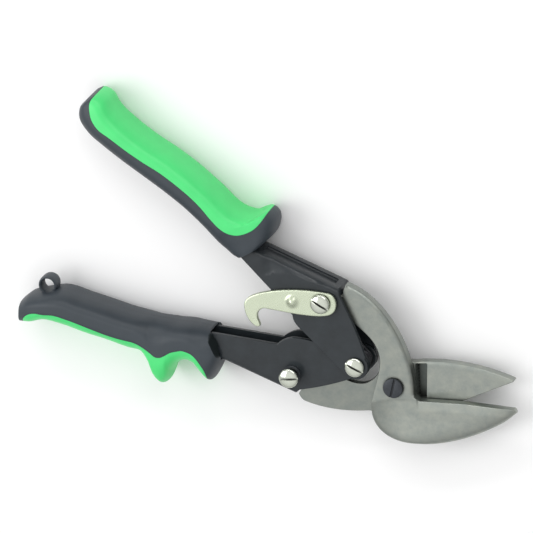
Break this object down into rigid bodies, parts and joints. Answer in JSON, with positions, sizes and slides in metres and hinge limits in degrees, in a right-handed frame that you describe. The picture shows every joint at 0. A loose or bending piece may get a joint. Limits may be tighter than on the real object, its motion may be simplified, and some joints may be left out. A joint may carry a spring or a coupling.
{
  "type": "aviation snips",
  "caption": "Compound-action sheet-metal snips with offset jaws, sprung dip-moulded handles and a swinging hook latch; right-cutting, shown open.",
  "frame": {"origin": "middle of the bounding box, on the plane the snips lie on", "axes": "+X the way the jaws point, +Y towards the upper handle, +Z along the pivots, from the nuts to the screw heads"},
  "size_m": [0.246, 0.17, 0.027],
  "materials": {
    "blade_steel": "satin, forged and ground",
    "handle_coating": "dark satin coating on pressed sheet",
    "black_oxide": "black oxide, satin",
    "plated_screws": "bright plated",
    "plated_latch": "pale nickel plate",
    "spring_steel": "oiled spring wire",
    "black_vinyl": "soft satin vinyl",
    "green_vinyl": "smooth satin vinyl"
  },
  "bodies": {
    "lower_handle": {"lower_handle": "handle_coating", "lower_grip": "black_vinyl", "lower_grip_overlay": "green_vinyl", "handle_pivot_screw": "plated_screws", "handle_pivot_nut": "plated_screws", "spring_sleeve": "plated_screws", "torsion_spring": "spring_steel", "latch_post_screw": "plated_screws", "lower_link_nut": "plated_screws", "lower_link_spacer": "plated_screws"},
    "upper_handle": {"upper_handle": "handle_coating", "upper_grip": "black_vinyl", "upper_grip_overlay": "green_vinyl", "upper_link_screw": "plated_screws", "upper_link_nut": "plated_screws", "upper_link_spacer": "plated_screws", "upper_link_shim": "plated_screws"},
    "front_blade": {"front_blade": "blade_steel", "blade_pivot_bolt": "black_oxide", "blade_pivot_washer": "black_oxide", "blade_pivot_nut": "black_oxide"},
    "back_blade": {"back_blade": "blade_steel"},
    "latch": {"latch": "plated_latch"}
  },
  "joints": [
    {"name": "handle_pivot", "type": "hinge", "parent": "lower_handle", "child": "upper_handle", "pos_m": [0.04564, -0.04528, 0.013], "axis": [0, 0, 1], "range_deg": [0, 26.8], "stiffness_Nm_per_rad": 0.8, "springref_deg": -40.11, "deforming": ["torsion_spring"]},
    {"name": "lower_link_pivot", "type": "hinge", "parent": "lower_handle", "child": "back_blade", "pos_m": [0.01324, -0.05168, 0.013], "axis": [0, 0, 1], "range_deg": [0, 4.8]},
    {"name": "upper_link_pivot", "type": "hinge", "parent": "upper_handle", "child": "front_blade", "pos_m": [0.03074, -0.01338, 0.013], "axis": [0, 0, 1], "range_deg": [-6.2, 0]},
    {"name": "latch_pivot", "type": "hinge", "parent": "upper_handle", "child": "latch", "pos_m": [0.03074, -0.01338, 0.0233], "axis": [0, 0, 1], "range_deg": [0, 32]}
  ],
  "couplings": [
    {"joint": "lower_link_pivot", "follows": "handle_pivot", "ratio": 0.1751},
    {"joint": "upper_link_pivot", "follows": "handle_pivot", "ratio": -0.2271}
  ]
}
